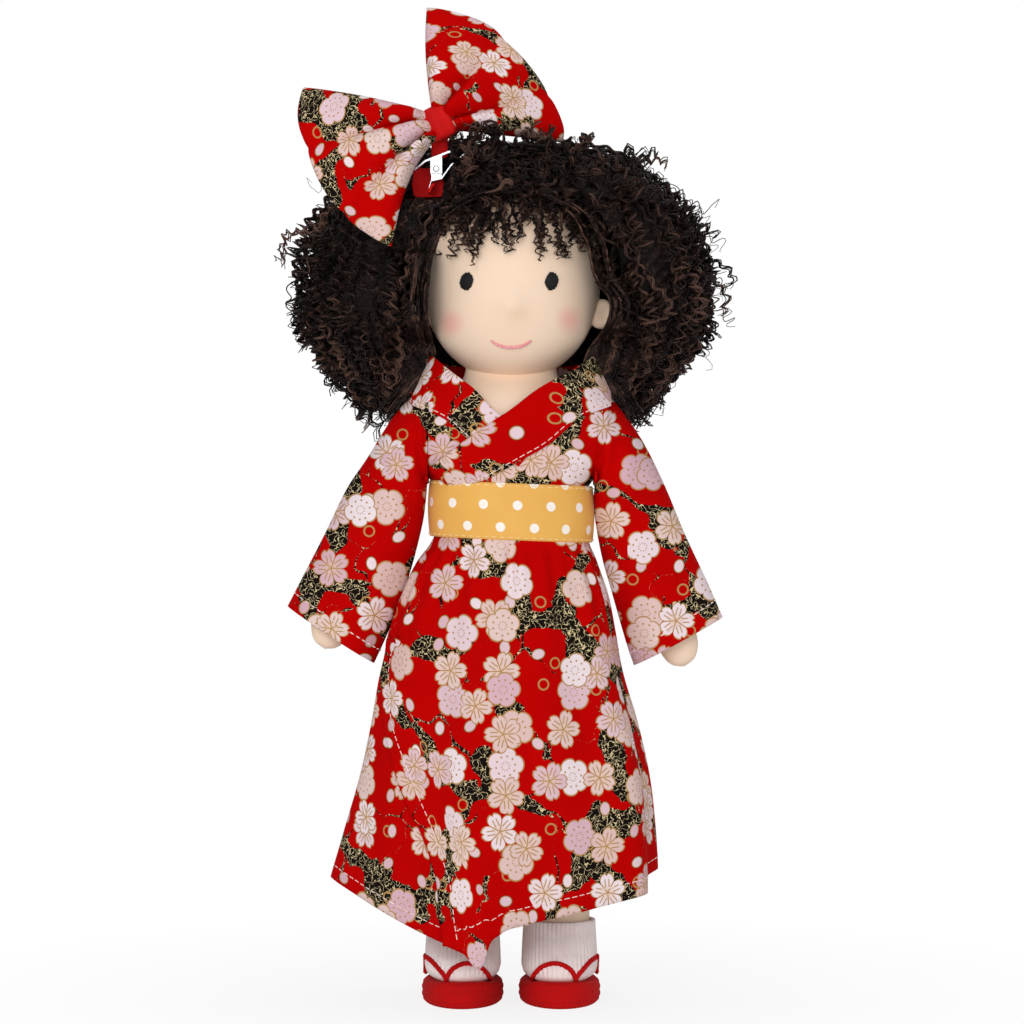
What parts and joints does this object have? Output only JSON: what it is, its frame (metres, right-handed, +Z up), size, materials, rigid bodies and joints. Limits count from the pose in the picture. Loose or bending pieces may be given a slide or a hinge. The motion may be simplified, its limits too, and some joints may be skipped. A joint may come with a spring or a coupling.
{
  "type": "cloth doll",
  "caption": "Stuffed cloth doll in a wrapped blossom-print kimono with a yellow obi, curly wig, clip-on bow, ribbed socks and thong sandals; its neck, arms and hips flex.",
  "frame": {"origin": "centre of the bounding box at the soles", "axes": "+Z up from the soles to the bow, face towards -Y, +X towards the doll's left arm"},
  "size_m": [0.204, 0.1194, 0.45],
  "materials": {
    "cotton_skin": "matte",
    "wool_stuffing": "matte",
    "kimono_cotton": "matte",
    "obi_cotton": "satin",
    "closure_tape": "matte",
    "sock_knit": "matte",
    "sandal_knit": "matte",
    "mohair": "matte",
    "cap_knit": "matte",
    "eye_thread": "satin",
    "lip_thread": "matte",
    "bow_ribbon": "matte",
    "clip_steel": "polished"
  },
  "bodies": {
    "torso": {"torso_skin": "cotton_skin", "torso_stuffing": "wool_stuffing", "bodice_front_over": "kimono_cotton", "bodice_front_under": "kimono_cotton", "bodice_back": "kimono_cotton", "collar_over": "kimono_cotton", "collar_under": "kimono_cotton", "obi": "obi_cotton", "obi_hook_strip": "closure_tape", "obi_loop_strip": "closure_tape"},
    "head": {"head_skin": "cotton_skin", "head_stuffing": "wool_stuffing", "eye_left": "eye_thread", "eye_right": "eye_thread", "ear_left": "cotton_skin", "ear_right": "cotton_skin", "mouth": "lip_thread", "wig_cap": "cap_knit", "hair_crown": "mohair", "hair_back": "mohair", "hair_left": "mohair", "hair_right": "mohair", "hair_fringe": "mohair", "clip_lower_jaw": "clip_steel", "clip_pin": "clip_steel", "clip_spring": "clip_steel", "clip_lining": "bow_ribbon"},
    "bow": {"bow_wing_left": "kimono_cotton", "bow_wing_right": "kimono_cotton", "bow_knot": "bow_ribbon", "clip_upper_jaw": "clip_steel"},
    "arm_left": {"arm_skin_left": "cotton_skin", "arm_stuffing_left": "wool_stuffing", "sleeve_left": "kimono_cotton"},
    "arm_right": {"arm_skin_right": "cotton_skin", "arm_stuffing_right": "wool_stuffing", "sleeve_right": "kimono_cotton"},
    "lap": {"skirt_front_over": "kimono_cotton", "skirt_front_under": "kimono_cotton", "skirt_back": "kimono_cotton"},
    "leg_left": {"leg_skin_left": "cotton_skin", "leg_stuffing_left": "wool_stuffing", "sock_left": "sock_knit", "sandal_sole_left": "sandal_knit", "sandal_strap_left": "sandal_knit"},
    "leg_right": {"leg_skin_right": "cotton_skin", "leg_stuffing_right": "wool_stuffing", "sock_right": "sock_knit", "sandal_sole_right": "sandal_knit", "sandal_strap_right": "sandal_knit"}
  },
  "joints": [
    {"name": "neck_turn", "type": "hinge", "parent": "torso", "child": "head", "pos_m": [0, -0.01, 0.288], "axis": [0, 0, 1], "range_deg": [-30, 30], "stiffness_Nm_per_rad": 0.06},
    {"name": "bow_clip", "type": "hinge", "parent": "head", "child": "bow", "pos_m": [-0.0337, -0.027, 0.3765], "axis": [0, -1, 0], "range_deg": [0, 20], "stiffness_Nm_per_rad": 0.02, "springref_deg": -20.05},
    {"name": "shoulder_left", "type": "hinge", "parent": "torso", "child": "arm_left", "pos_m": [-0.043, -0.01, 0.257], "axis": [-1, 0, 0], "range_deg": [-30, 80]},
    {"name": "shoulder_right", "type": "hinge", "parent": "torso", "child": "arm_right", "pos_m": [0.043, -0.01, 0.257], "axis": [-1, 0, 0], "range_deg": [-30, 80]},
    {"name": "hip_fold", "type": "hinge", "parent": "torso", "child": "lap", "pos_m": [0, -0.01, 0.15], "axis": [-1, 0, 0], "range_deg": [0, 80], "deforming": ["skirt_front_over", "skirt_front_under", "skirt_back"]},
    {"name": "leg_left_swing", "type": "hinge", "parent": "lap", "child": "leg_left", "pos_m": [-0.022, -0.01, 0.15], "axis": [-1, 0, 0], "range_deg": [-10, 10]},
    {"name": "leg_right_swing", "type": "hinge", "parent": "lap", "child": "leg_right", "pos_m": [0.022, -0.01, 0.15], "axis": [-1, 0, 0], "range_deg": [-10, 10]}
  ]
}
